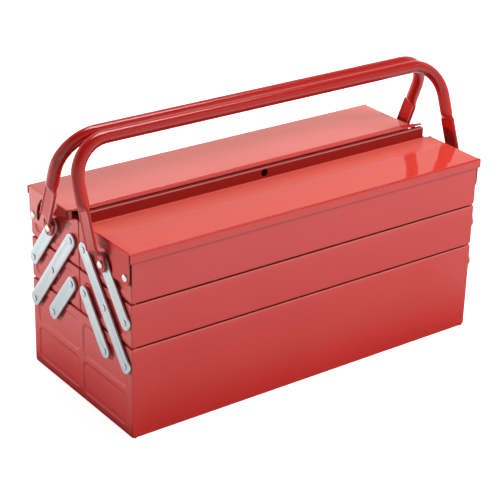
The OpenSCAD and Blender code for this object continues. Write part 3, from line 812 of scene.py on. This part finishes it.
LID_OVER, LID_FLANGE, LID_RISE = 2.4, 10.2, 2.4
LID_FOLD_R, END_FOLD_R, RIDGE_FOLD_R = 2.4, 1.6, 1.2
LID_HALF = BOX_L / 2 + LID_OUT
RIDGE_BACK, RIDGE_H, RIDGE_INSET_LEFT, RIDGE_INSET_RIGHT = 17.5, 13.0, 1.0, 12.4
LIP_BACK, LIP_REACH, LIP_GAP = 20.0, 11.7, 1.0
LIP_OVERLAP, LIP_FOLD_R = 0.2, 4.0
LIP_TAPER_L, LIP_TAPER_W, LIP_CROWN = 10.0, 16.0, 0.6
LIP_TAB_W, LIP_TAB_H, LIP_TAB_R = 10.0, 8.0, 2.8
FRONT_RELIEF, REAR_RELIEF = 2.2, 1.0
FLAP_INSET, FLAP_LIFT, FLAP_TAPER, FLAP_END_R = 1.0, 15.5, 30.0, 4.5
FLAP_CLEAR_R, FLAP_TOP = 16.5, END_FOLD_R + 0.8
SLOT_R, SLOT_W, SLOT_LOW, SLOT_HIGH = 28.5, 7.0, 88.0, 38.0
PADLOCK_D, PADLOCK_X, PADLOCK_DROP = 8.6, -8.0, 5.6

ridge_foot = Vector((BOX_W / 2 - RIDGE_BACK, LID_EDGE_Z))
ridge_top = ridge_foot + Vector((0, RIDGE_H))
lip_foot = Vector((BOX_W / 2 - LIP_BACK, LID_EDGE_Z + LID_RISE))
lip_edge = Vector((BOX_W / 2 + LIP_REACH, ridge_top.y + LIP_GAP + SHEET))


def arc_round(centre, r, start, stop, steps):
    """Points on a circle, between two angles in degrees."""
    return [
        centre + r * Vector((math.cos(a), math.sin(a)))
        for a in (math.radians(start + (stop - start) * i / steps) for i in range(steps + 1))
    ]


def curved_slot_line(centre):
    """The outline of the slot that runs round the handle's rivet."""
    def at(angle, r):
        return centre + r * Vector((-math.sin(math.radians(angle)), math.cos(math.radians(angle))))

    outer = [at(a, SLOT_R + SLOT_W / 2) for a in spaced(SLOT_HIGH, SLOT_LOW, 5)]
    inner = [at(a, SLOT_R - SLOT_W / 2) for a in spaced(SLOT_LOW, SLOT_HIGH, 5)]
    low_end = arc_round(at(SLOT_LOW, SLOT_R), SLOT_W / 2, SLOT_LOW + 90, SLOT_LOW + 270, 8)[1:-1]
    high_end = arc_round(at(SLOT_HIGH, SLOT_R), SLOT_W / 2, SLOT_HIGH - 90, SLOT_HIGH + 90, 8)[1:-1]
    return outer + low_end + inner + high_end


def flap_outline(upper, foot, relief):
    """The end flap below its fold, from the line of points where the fold ends."""
    centre, hub = pivot(1, 2), pivot(0, 2)
    lobe_r = PIVOT_EDGE - FLAP_INSET
    band_z = hub.y + FLAP_LIFT
    end = Vector((foot.x - relief - FLAP_END_R, upper[-1].y + FLAP_TOP - FLAP_END_R))
    across = math.sqrt(FLAP_CLEAR_R**2 - (band_z - centre.y) ** 2)
    low = hub.y - lobe_r
    meets = centre.x - math.sqrt(FLAP_CLEAR_R**2 - (low - centre.y) ** 2)
    right = foot.x - FLAP_TAPER
    bite = arc_round(
        centre,
        FLAP_CLEAR_R,
        math.degrees(math.atan2(band_z - centre.y, across)),
        360 - math.degrees(math.acos((meets - centre.x) / FLAP_CLEAR_R)),
        22,
    )
    corner = arc_round(end, FLAP_END_R, 0, -75, 6)
    lobe = arc_round(hub, lobe_r, 270, 180, 8)
    line = list(upper) + corner
    if right > centre.x + across:
        line.append(Vector((right, band_z)))
    return line + bite + lobe


def lid_work(side, foot, relief, slots, stops=()):
    """The left half of a lid's top, front flange and end flap, as patches that share their edges."""
    work = SheetWork(side)
    edge = Vector((-LID_OVER, foot.y))
    bend = rounded([edge - Vector((0, LID_FLANGE)), edge, foot], [LID_FOLD_R], 8)[:-1]
    bent_from = END_FOLD_R - LID_HALF
    lengths = sorted({-LID_HALF, *spaced(bent_from, 0, 14), *stops})
    front = [bend[0] + (bend[1] - bend[0]) * t for t in (0, 0.5)] + bend[1:]
    front.append(Vector((FLAP_INSET, foot.y)))
    work.patch(lengths, range(len(front)), lambda u, i: (u, front[i].x, front[i].y))
    rows = [Vector((y, foot.y)) for y in spaced(FLAP_INSET, foot.x - relief, 6)]
    flat_lengths = [u for u in lengths if u >= bent_from]
    work.patch(flat_lengths, range(len(rows)), lambda u, i: (u, rows[i].x, rows[i].y))
    turn = [math.pi / 16 * i for i in range(9)]
    over = [(-LID_HALF + END_FOLD_R * (1 - math.cos(a)), END_FOLD_R * (1 - math.sin(a))) for a in turn]
    over = [(-LID_HALF, FLAP_TOP)] + over
    work.patch(over, range(len(rows)), lambda u, i: (u[0], rows[i].x, rows[i].y - u[1]))
    upper = [Vector((p.x, p.y - FLAP_TOP)) for p in rows]
    hole = arc_round(pivot(0, 2), HOLE_R, 0, 345, 23)
    work.cut_plate(flap_outline(upper, foot, relief), [hole, *slots], lambda y, z: (-LID_HALF, y, z))
    return work, lengths, rows[-1]


def other_half(work):
    """Adds the mirror image of the half that is drawn."""
    pairs = {v: work.mesh.verts.new((-v.co.x, v.co.y, v.co.z)) for v in list(work.mesh.verts)}
    for face in list(work.mesh.faces):
        work.mesh.faces.new([pairs[v] for v in reversed(face.verts)])


FRONT_LID_ENAMEL = red_enamel(
    "lid_enamel", (0.62, 0.03, 0.025, 1), (0.67, 0.042, 0.034, 1), 0.14, 380.0, 0.4
)
# Painted glint and shade: the top is made glossier, but dull along the upright, so that it doesn't
# mirror it, and painted paler there as painted light. The upright is painted dark as painted shade,
# with a painted highlight along its top fold. The front fold, the flange's edge and the flaps are
# painted deeper red, as painted shade.
fold_y, flange_z = -BOX_W / 2 - LID_OVER, ridge_foot.y - LID_FLANGE
ridge_y = ridge_foot.x - BOX_W / 2
lid_top = ("Z", ridge_foot.y - 1.6, ridge_foot.y + 0.4)
by_upright = [lid_top, ("Y", ridge_y - 28, ridge_y + 9, 6)]
upright_top = [("Z", ridge_top.y - 0.8, ridge_top.y + 1), ("Y", ridge_y - 1, ridge_y + 0.9)]
front_fold = [("Y", fold_y - 1, fold_y + 1.9), ("Z", ridge_foot.y - 0.9, ridge_foot.y + 1)]
flange_edge = [("Z", flange_z - 1, flange_z + 0.6), ("Y", fold_y - 1, fold_y + 1.5)]
FLAP_RED = (0.5, 0.014, 0.01, 1)
touch_up(
    FRONT_LID_ENAMEL,
    [
        ([lid_top], (0.63, 0.045, 0.03, 1), 1.0, -0.09),
        (by_upright, (0.76, 0.12, 0.09, 1), 0.95, 0.38),
        ([("Z", ridge_foot.y + 0.8, ridge_top.y + 1)], (0.25, 0.003, 0.001, 1), 1.0, 0.32),
        (upright_top, (0.7, 0.3, 0.3, 1), 0.6, 0.0),
        (front_fold, (0.4, 0.007, 0.005, 1), 0.9, 0.5),
        (flange_edge, DEEP_RED, 0.5, 0.1),
        ([("X", -LID_HALF - 1, -LID_HALF + 0.5)], FLAP_RED, 0.9, 0.3),
        ([("X", LID_HALF - 0.5, LID_HALF + 1)], FLAP_RED, 0.9, 0.3),
    ],
)
ridge_from, ridge_to = RIDGE_INSET_LEFT - LID_HALF, LID_HALF - RIDGE_INSET_RIGHT
work, lengths, last = lid_work("front", ridge_foot, FRONT_RELIEF, [], (ridge_from, -ridge_to))
other_half(work)
lengths += [-u for u in reversed(lengths[:-1])]
upright = rounded(
    [last, ridge_foot, ridge_top, ridge_top + Vector((RIDGE_BACK - LIP_REACH + LIP_OVERLAP, 0))],
    [RIDGE_FOLD_R, RIDGE_FOLD_R],
)
fold = len(upright) // 2
ridge_lengths = [u for u in lengths if ridge_from <= u <= ridge_to]
for bend in (range(fold), range(fold, len(upright))):
    work.patch(ridge_lengths, bend, lambda u, i: (u, upright[i].x, upright[i].y))
ledge = [last, ridge_foot]
for beside in ([u for u in lengths if u <= ridge_from], [u for u in lengths if u >= ridge_to]):
    work.patch(beside, (0, 1), lambda u, i: (u, ledge[i].x, ledge[i].y))
low, high = upright[fold - 1].y, upright[fold].y
hole = arc_round(Vector((ridge_top.y - PADLOCK_DROP, PADLOCK_X)), PADLOCK_D / 2, 0, 350, 35)
work.cut_plate(
    [(low, x) for x in ridge_lengths] + [(high, x) for x in reversed(ridge_lengths)],
    [hole],
    lambda z, x: (x, ridge_foot.x, z),
)
work.finish("lid_front_steel", "lid_front", "lid_front", FRONT_LID_ENAMEL, -1)

REAR_LID_ENAMEL = red_enamel(
    "rear_lid_enamel", (0.62, 0.125, 0.11, 1), (0.68, 0.16, 0.14, 1), 0.12, 380.0, 0.4
)
# This lid's paler red stands for the light that it mirrors. The lip is painted deeper red, and
# only its surface normal makes it look crowned.
lip_span = ("Y", BOX_W / 2 - lip_edge.x - 1, BOX_W / 2 - lip_foot.x + 1)
touch_up(REAR_LID_ENAMEL, [([lip_span], (0.6, 0.022, 0.018, 1), 0.95, 0.0)])
tree = REAR_LID_ENAMEL.node_tree
surface = tree.nodes["Principled BSDF"]
lip_from, lip_to = lip_span[1] * MM, lip_span[2] * MM
crown = spread(tree, own_axes(tree)["Y"], lip_from, lip_to, LIP_CROWN * (lip_from - lip_to), 0.0)
under = surface.inputs["Normal"].links[0].from_socket
rolled = add_node(tree, "ShaderNodeBump", Strength=1.0, Distance=1.0, Height=crown, Normal=under)
tree.links.new(rolled.outputs["Normal"], surface.inputs["Normal"])
slots = [curved_slot_line(pivot(1, 2))]
work, lengths, last = lid_work("rear", lip_foot, REAR_RELIEF, slots)
slope = (lip_edge - lip_foot).normalized()
crease = rounded([last, lip_foot, lip_edge], [LIP_FOLD_R], 8)
reach = (lip_edge - crease[-2]).length
lip = crease[:-1] + [crease[-2] + slope * t for t in spaced(0, reach, 3)[1:]]


def lip_place(u, i):
    """A point of the lip, whose ends draw in towards its edge."""
    y = lip[i].x
    cut = max(0.0, (y - (BOX_W / 2 + LIP_REACH - LIP_TAPER_W)) / LIP_TAPER_W)
    return u * (1 - LIP_TAPER_L / LID_HALF * cut**1.6), y, lip[i].y


work.patch(lengths, range(len(lip)), lip_place)
tab_from = lip_foot + slope * REAR_RELIEF
tab_to = lip_foot + slope * (REAR_RELIEF + LIP_TAB_W)
low = Vector((tab_to.x - LIP_TAB_R, lip_foot.y - LIP_TAB_H + LIP_TAB_R))
down = Vector((0, 0.5))
tab = [tab_from - down, tab_to - down] + arc_round(low, LIP_TAB_R, 0, -180, 10)
work.cut_plate(tab, [], lambda y, z: (-LID_HALF, y, z))
other_half(work)
work.finish("lid_rear_steel", "lid_rear", "lid_rear", REAR_LID_ENAMEL, -1)

# ---------------------------------------------------------------------------------------------
# Handles
# Each is a 14 mm steel tube bent twice, its legs crushed flat and cranked in to a round-ended tab
# on the top tray's rivet. The tubes are enamelled with the sheets.

TUBE_D, GRIP_GAP, GRIP_Z = 14.0, 4.0, 297.0
TUBE_BEND_R, LEG_OUT = 41.0, 12.5
CRUSH_W, TAB_W, CRUSH_L, CRUSH_RUN = 21.0, 17.0, 56.0, 9.0
DISH_DEPTH, DISH_BORDER, DISH_SLOPE, DISH_FROM_W = 0.5, 0.4, 1.8, 8.0

HANDLE_ENAMEL = red_enamel("handle_enamel", (0.5, 0.011, 0.009, 1), (0.55, 0.018, 0.015, 1), 0.16, 480.0)
# Painted shade: the tube's enamel is darker than the sheets', and the grip and the bends are a
# deeper red than the legs.
touch_up(HANDLE_ENAMEL, [([("Z", GRIP_Z - 26, GRIP_Z + 30, 14)], (0.37, 0.005, 0.004, 1), 0.9, 0.0)])
rivet_at = pivot(1, 2)
grip_y = BOX_W / 2 - (TUBE_D + GRIP_GAP) / 2
handle_l = math.hypot(grip_y - rivet_at.x, GRIP_Z - rivet_at.y)
lean = Vector((grip_y - rivet_at.x, GRIP_Z - rivet_at.y)) / handle_l


def crushed_ring(width, roundness, facets=56):
    """The tube's section as (out, across): a flattened loop that swells to a full round."""
    half, r = CRUSH_T / 2, TUBE_D / 2
    flat, arc = width - CRUSH_T, math.pi * half
    around = 2 * (flat + arc)
    ring = []
    for k in range(facets):
        s = around * k / facets
        if s < flat:
            out, across = half, s - flat / 2
        elif s < flat + arc:
            a = (s - flat) / half
            out, across = half * math.cos(a), flat / 2 + half * math.sin(a)
        elif s < 2 * flat + arc:
            out, across = -half, flat / 2 - (s - flat - arc)
        else:
            a = (s - 2 * flat - arc) / half
            out, across = -half * math.cos(a), -flat / 2 - half * math.sin(a)
        if flat > DISH_FROM_W:
            out *= 1 - DISH_DEPTH * ease((flat / 2 - abs(across) - DISH_BORDER) / DISH_SLOPE)
        turn = 2 * math.pi * (k / facets) - math.pi * flat / around
        full = (r * math.cos(turn), r * math.sin(turn))
        ring.append((out + (full[0] - out) * roundness, across + (full[1] - across) * roundness))
    return ring


def leg_stations():
    """Up one leg: (height over the rivet, distance outside the end panel, width, roundness)."""
    tab_out = TAB_OUT + CRUSH_T / 2
    joggle_to = TAB_W / 2 + LEG_OUT - tab_out
    rows = []
    for i in range(9):
        a = math.pi / 16 * i
        rows.append((-TAB_W / 2 * math.cos(a), tab_out, max(TAB_W * math.sin(a), 1.2), 0))
    rows += [(h, tab_out, TAB_W, 0) for h in (3.0, 6.0, TAB_W / 2 - 0.7)]
    for t in (0, 0.25, 0.5, 0.75, 1):
        h = TAB_W / 2 + (joggle_to - TAB_W / 2) * t
        out = tab_out + (LEG_OUT - tab_out) * (0.03 + 0.94 * t)
        rows.append((h, out, TAB_W + (CRUSH_W - TAB_W) * t, 0))
    rows += [(h, LEG_OUT, CRUSH_W, 0) for h in spaced(joggle_to + 0.7, CRUSH_L - 0.4, 6)]
    for i in range(1, 11):
        swell = math.sin(math.pi / 20 * i) ** 0.8
        rows.append((CRUSH_L + CRUSH_RUN * i / 10, LEG_OUT, CRUSH_W, swell))
    straight = spaced(CRUSH_L + CRUSH_RUN, handle_l - TUBE_BEND_R, 4)[1:-1]
    return rows + [(h, LEG_OUT, CRUSH_W, 1) for h in straight]


def handle_rings():
    """Every ring of the handle, as (x, across, height over the rivet) points, from end to end."""
    half = BOX_L / 2
    rings = []
    for h, out, width, roundness in leg_stations():
        rings.append([(-half - out - o, c, h) for o, c in crushed_ring(width, roundness)])
    round_ring = crushed_ring(CRUSH_W, 1)
    bend_x, bend_h = TUBE_BEND_R - half - LEG_OUT, handle_l - TUBE_BEND_R
    for i in range(25):
        a = math.pi / 48 * i
        cos, sin, r = math.cos(a), math.sin(a), TUBE_BEND_R
        rings.append([(bend_x - (r + o) * cos, c, bend_h + (r + o) * sin) for o, c in round_ring])
    for x in spaced(bend_x, 0, 16)[1:]:
        rings.append([(x, c, handle_l + o) for o, c in round_ring])
    return rings + [[(-x, c, h) for x, c, h in ring] for ring in reversed(rings[:-1])]


def leaned(hand, x, across, h):
    """A handle's point, leaned over from the rivet towards the middle of the box."""
    y = rivet_at.x - BOX_W / 2 + across * lean.y + h * lean.x
    return Vector((x, hand * y, rivet_at.y - across * lean.x + h * lean.y)) * MM


for side, hand in (("front", 1), ("rear", -1)):
    tube = bmesh.new()
    rows = [[tube.verts.new(leaned(hand, *spot)) for spot in ring] for ring in handle_rings()]
    for a, b in zip(rows, rows[1:]):
        for i in range(len(a)):
            j = (i + 1) % len(a)
            tube.faces.new((a[i], b[i], b[j], a[j]))
    tube.faces.new(rows[0])
    tube.faces.new(list(reversed(rows[-1])))
    bmesh.ops.recalc_face_normals(tube, faces=tube.faces)
    mesh = bpy.data.meshes.new(f"handle_{side}_tube")
    tube.to_mesh(mesh)
    tube.free()
    mesh.materials.append(HANDLE_ENAMEL)
    handle = new_object(f"handle_{side}_tube", mesh)
    set_down(handle, f"handle_{side}", f"handle_{side}", 32)

# ---------------------------------------------------------------------------------------------
# Floor, lamps and camera
# A plain white floor, soft lamps and a camera, none of them part of the tool box. The floor and the
# world look different to mirrored rays, and two lamps are not mirrored at all, to steer the glints.

bpy.ops.mesh.primitive_plane_add(size=40, location=(0, 0, -0.0004))
floor = bpy.context.object
floor.name = "studio_floor"
paper = bpy.data.materials.new("studio_paper")
paper.use_nodes = True
tree = paper.node_tree
tree.nodes.clear()
rays = add_node(tree, "ShaderNodeLightPath").outputs
# To mirrored rays the floor is painted darker next to the box, as a painted shadow, and paler away from
# it, as painted light; bounced light sees it darker too.
spot = own_axes(tree)
beside_x = calc(tree, "SUBTRACT", calc(tree, "ABSOLUTE", spot["X"]), BOX_L / 2 * MM)
beside_y = calc(tree, "SUBTRACT", calc(tree, "ABSOLUTE", spot["Y"]), BOX_W / 2 * MM)
away = calc(tree, "MAXIMUM", beside_x, beside_y)
pale_x, pale_y = spread(tree, beside_x, 0.02, 0.09, 0, 0.6), spread(tree, beside_y, 0.02, 0.31)
mirrored = calc(tree, "MULTIPLY", rays["Is Glossy Ray"], calc(tree, "MAXIMUM", pale_x, pale_y))
direct = calc(tree, "MAXIMUM", rays["Is Camera Ray"], rays["Is Transmission Ray"])
lift = calc(tree, "MULTIPLY_ADD", direct, 0.78, mirrored)
glow = add_node(tree, "ShaderNodeEmission", Color=(1, 1, 1, 1), Strength=lift)
dim = calc(tree, "MULTIPLY", rays["Is Glossy Ray"], spread(tree, away, 0.0, 0.07, 0.7, 0.4))
dim = calc(tree, "MULTIPLY_ADD", rays["Is Diffuse Ray"], 0.3, dim)
matt = add_node(tree, "ShaderNodeBsdfDiffuse", Color=calc(tree, "SUBTRACT", 0.8, dim))
both = add_node(tree, "ShaderNodeAddShader", i0=glow.outputs[0], i1=matt.outputs[0])
add_node(tree, "ShaderNodeOutputMaterial", Surface=both.outputs[0])
floor.data.materials.append(paper)

world = bpy.data.worlds.new("studio")
bpy.context.scene.world = world
world.use_nodes = True
tree = world.node_tree
rays = add_node(tree, "ShaderNodeLightPath").outputs
away_to = add_node(tree, "ShaderNodeTexCoord").outputs["Generated"]
up = add_node(tree, "ShaderNodeSeparateXYZ", i0=away_to).outputs["Z"]
backdrop = spread(tree, up, 0.42, 0.8, 0.85, 0.12)
seen = calc(tree, "MAXIMUM", rays["Is Camera Ray"], rays["Is Transmission Ray"])
seen = calc(tree, "MAXIMUM", seen, calc(tree, "MULTIPLY", rays["Is Glossy Ray"], backdrop))
strength = calc(tree, "MAXIMUM", seen, calc(tree, "MULTIPLY", rays["Is Diffuse Ray"], 0.12))
tree.links.new(strength, tree.nodes["Background"].inputs["Strength"])
tint = blend_colours(tree, rays["Is Glossy Ray"], (1, 1, 1, 1), (1, 0.98, 0.88, 1))
tree.links.new(tint, tree.nodes["Background"].inputs["Color"])


def softbox(name, place, aim, size, power):
    """A soft lamp, turned to the spot that it is aimed at."""
    lamp = bpy.data.lights.new(name, "AREA")
    lamp.shape, lamp.size, lamp.size_y, lamp.energy = "RECTANGLE", size[0], size[1], power
    stand = new_object(name, lamp)
    stand.location = place
    stand.rotation_euler = (Vector(aim) - Vector(place)).to_track_quat("-Z", "Y").to_euler()
    return stand


softbox("overhead", (0.5, 0.4, 2.2), (0, 0, 0.1), (1.4, 0.9), 33)
softbox("low_left_rear", (-1.6, 1.45, 0.36), (-0.2, 0, 0.12), (0.16, 0.16), 36).visible_glossy = False
softbox("front_right", (1.5, -1.9, 2.0), (0.1, 0, 0.1), (1.2, 0.9), 78).visible_glossy = False

azimuth, elevation, roll = math.radians(36.7485), math.radians(25.1691), math.radians(1.591)
level = Vector((math.cos(azimuth), -math.sin(azimuth), 0))
ahead = Vector((math.sin(azimuth), math.cos(azimuth), 0))
forward = ahead * math.cos(elevation) - Vector((0, 0, math.sin(elevation)))
upward = level.cross(forward)
right = level * math.cos(roll) + upward * math.sin(roll)
above = -level * math.sin(roll) + upward * math.cos(roll)
turned = Matrix((right, above, -forward)).transposed().to_4x4()
camera = new_object("camera", bpy.data.cameras.new("camera"))
camera.matrix_world = Matrix.Translation((-0.98821, -1.3079, 0.88647)) @ turned
camera.data.sensor_width, camera.data.lens = 36, 116.845
camera.data.clip_start, camera.data.clip_end = 0.05, 60
bpy.context.scene.camera = camera
bpy.context.scene.view_settings.view_transform = "Standard"
